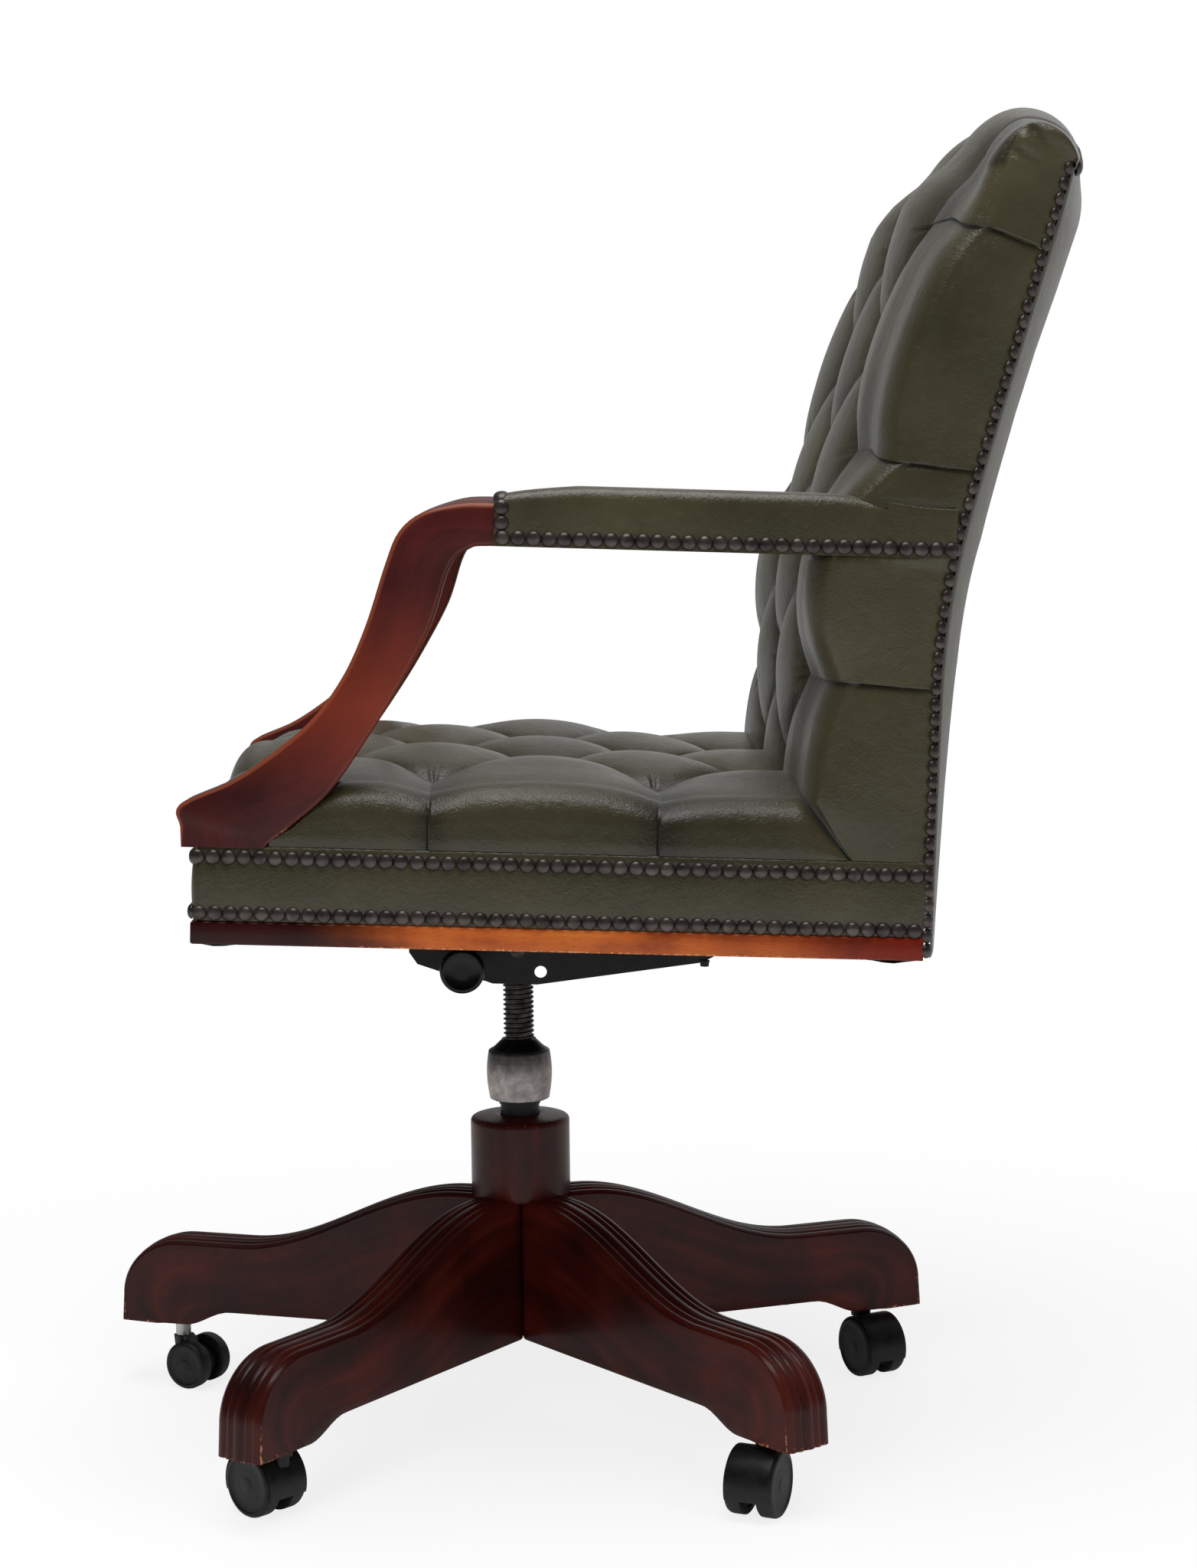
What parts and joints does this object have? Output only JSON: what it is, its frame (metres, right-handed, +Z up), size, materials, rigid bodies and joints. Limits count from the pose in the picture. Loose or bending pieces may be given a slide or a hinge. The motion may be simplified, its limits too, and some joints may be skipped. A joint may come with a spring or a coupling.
{
  "type": "desk chair",
  "caption": "Swivel desk chair with deep-buttoned leather seat and back, shaped mahogany arms, screw height column, sprung tilt, moulded wooden star base and twin-wheel casters.",
  "frame": {"origin": "on the floor, on the swivel axis", "axes": "+Z up, -Y towards the chair's front, +X towards the sitter's left"},
  "size_m": [0.6638, 0.802, 1.0674],
  "materials": {
    "leg_mahogany": "polished, very dark",
    "arm_mahogany": "polished, worn at the edges",
    "strip_mahogany": "polished",
    "beech": "raw",
    "leather": "semi-gloss, creased",
    "raw_steel": "mottled, scratched",
    "spindle_steel": "oiled, worn",
    "plated_steel": "plated",
    "black_steel": "satin black",
    "black_rubber": "matt",
    "knob_plastic": "glossy",
    "caster_plastic": "satin, scuffed",
    "lining": "matt cloth",
    "webbing": "woven"
  },
  "bodies": {
    "base": {"hub_column": "leg_mahogany", "leg_1": "leg_mahogany", "leg_2": "leg_mahogany", "leg_3": "leg_mahogany", "leg_4": "leg_mahogany", "leg_5": "leg_mahogany", "column_tube": "black_steel", "caster_sockets": "plated_steel", "leg_plugs": "leg_mahogany"},
    "nut": {"height_nut": "raw_steel", "thrust_washer": "black_steel"},
    "lift": {"spindle": "spindle_steel", "spindle_head": "black_steel", "pivot_pin": "spindle_steel", "torsion_rubbers": "black_rubber"},
    "seat": {"tilt_bracket": "black_steel", "bracket_bolts": "black_steel", "cross_battens": "beech", "front_rail": "beech", "rear_rail": "beech", "left_rail": "beech", "right_rail": "beech", "corner_blocks": "beech", "show_strips": "strip_mahogany", "leather_bands": "leather", "seat_webbing": "webbing", "seat_cushion": "leather", "arm_left": "arm_mahogany", "arm_right": "arm_mahogany", "arm_pad_left": "leather", "arm_pad_right": "leather", "arm_screws": "plated_steel", "back_stiles": "beech", "back_rails": "beech", "back_cushion": "leather", "back_side_covers": "leather", "outside_back": "leather", "dust_cover": "lining"},
    "knob": {"lock_knob": "knob_plastic", "lock_bolt": "plated_steel"},
    "caster_1": {"hood_1": "caster_plastic", "pins_1": "plated_steel"},
    "wheel_1a": {"wheel_1a": "caster_plastic"},
    "wheel_1b": {"wheel_1b": "caster_plastic"},
    "caster_2": {"hood_2": "caster_plastic", "pins_2": "plated_steel"},
    "wheel_2a": {"wheel_2a": "caster_plastic"},
    "wheel_2b": {"wheel_2b": "caster_plastic"},
    "caster_3": {"hood_3": "caster_plastic", "pins_3": "plated_steel"},
    "wheel_3a": {"wheel_3a": "caster_plastic"},
    "wheel_3b": {"wheel_3b": "caster_plastic"},
    "caster_4": {"hood_4": "caster_plastic", "pins_4": "plated_steel"},
    "wheel_4a": {"wheel_4a": "caster_plastic"},
    "wheel_4b": {"wheel_4b": "caster_plastic"},
    "caster_5": {"hood_5": "caster_plastic", "pins_5": "plated_steel"},
    "wheel_5a": {"wheel_5a": "caster_plastic"},
    "wheel_5b": {"wheel_5b": "caster_plastic"}
  },
  "joints": [
    {"name": "swivel", "type": "hinge", "parent": "base", "child": "nut", "pos_m": [0, 0, 0.26], "axis": [0, 0, 1], "continuous": true},
    {"name": "height", "type": "slide", "parent": "nut", "child": "lift", "axis": [0, 0, 1], "range_m": [-0.035, 0.075]},
    {"name": "tilt", "type": "hinge", "parent": "lift", "child": "seat", "pos_m": [0, 0, 0.3968], "axis": [-1, 0, 0], "range_deg": [0, 12], "stiffness_Nm_per_rad": 120, "springref_deg": -20.05},
    {"name": "knob_turn", "type": "hinge", "parent": "seat", "child": "knob", "pos_m": [0, -0.04377, 0.38952], "axis": [1, 0, 0], "continuous": true},
    {"name": "caster_1_swivel", "type": "hinge", "parent": "base", "child": "caster_1", "pos_m": [0.25079, -0.18221, 0.05], "axis": [0, 0, 1], "continuous": true},
    {"name": "wheel_1a_turn", "type": "hinge", "parent": "caster_1", "child": "wheel_1a", "pos_m": [0.23807, -0.19494, 0.025], "axis": [0.7071, -0.7071, 0], "continuous": true},
    {"name": "wheel_1b_turn", "type": "hinge", "parent": "caster_1", "child": "wheel_1b", "pos_m": [0.23807, -0.19494, 0.025], "axis": [0.7071, -0.7071, 0], "continuous": true},
    {"name": "caster_2_swivel", "type": "hinge", "parent": "base", "child": "caster_2", "pos_m": [0.25079, 0.18221, 0.05], "axis": [0, 0, 1], "continuous": true},
    {"name": "wheel_2a_turn", "type": "hinge", "parent": "caster_2", "child": "wheel_2a", "pos_m": [0.26697, 0.17432, 0.025], "axis": [0.4384, 0.8988, 0], "continuous": true},
    {"name": "wheel_2b_turn", "type": "hinge", "parent": "caster_2", "child": "wheel_2b", "pos_m": [0.26697, 0.17432, 0.025], "axis": [0.4384, 0.8988, 0], "continuous": true},
    {"name": "caster_3_swivel", "type": "hinge", "parent": "base", "child": "caster_3", "pos_m": [-0.0958, 0.29483, 0.05], "axis": [0, 0, 1], "continuous": true},
    {"name": "wheel_3a_turn", "type": "hinge", "parent": "caster_3", "child": "wheel_3a", "pos_m": [-0.07962, 0.30272, 0.025], "axis": [-0.4384, 0.8988, 0], "continuous": true},
    {"name": "wheel_3b_turn", "type": "hinge", "parent": "caster_3", "child": "wheel_3b", "pos_m": [-0.07962, 0.30272, 0.025], "axis": [-0.4384, 0.8988, 0], "continuous": true},
    {"name": "caster_4_swivel", "type": "hinge", "parent": "base", "child": "caster_4", "pos_m": [-0.31, 0, 0.05], "axis": [0, 0, 1], "continuous": true},
    {"name": "wheel_4a_turn", "type": "hinge", "parent": "caster_4", "child": "wheel_4a", "pos_m": [-0.32559, 0.009, 0.025], "axis": [-0.5, -0.866, 0], "continuous": true},
    {"name": "wheel_4b_turn", "type": "hinge", "parent": "caster_4", "child": "wheel_4b", "pos_m": [-0.32559, 0.009, 0.025], "axis": [-0.5, -0.866, 0], "continuous": true},
    {"name": "caster_5_swivel", "type": "hinge", "parent": "base", "child": "caster_5", "pos_m": [-0.0958, -0.29483, 0.05], "axis": [0, 0, 1], "continuous": true},
    {"name": "wheel_5a_turn", "type": "hinge", "parent": "caster_5", "child": "wheel_5a", "pos_m": [-0.08829, -0.28184, 0.0205], "axis": [-0.866, 0.5, 0], "continuous": true},
    {"name": "wheel_5b_turn", "type": "hinge", "parent": "caster_5", "child": "wheel_5b", "pos_m": [-0.08829, -0.28184, 0.0205], "axis": [-0.866, 0.5, 0], "continuous": true}
  ]
}
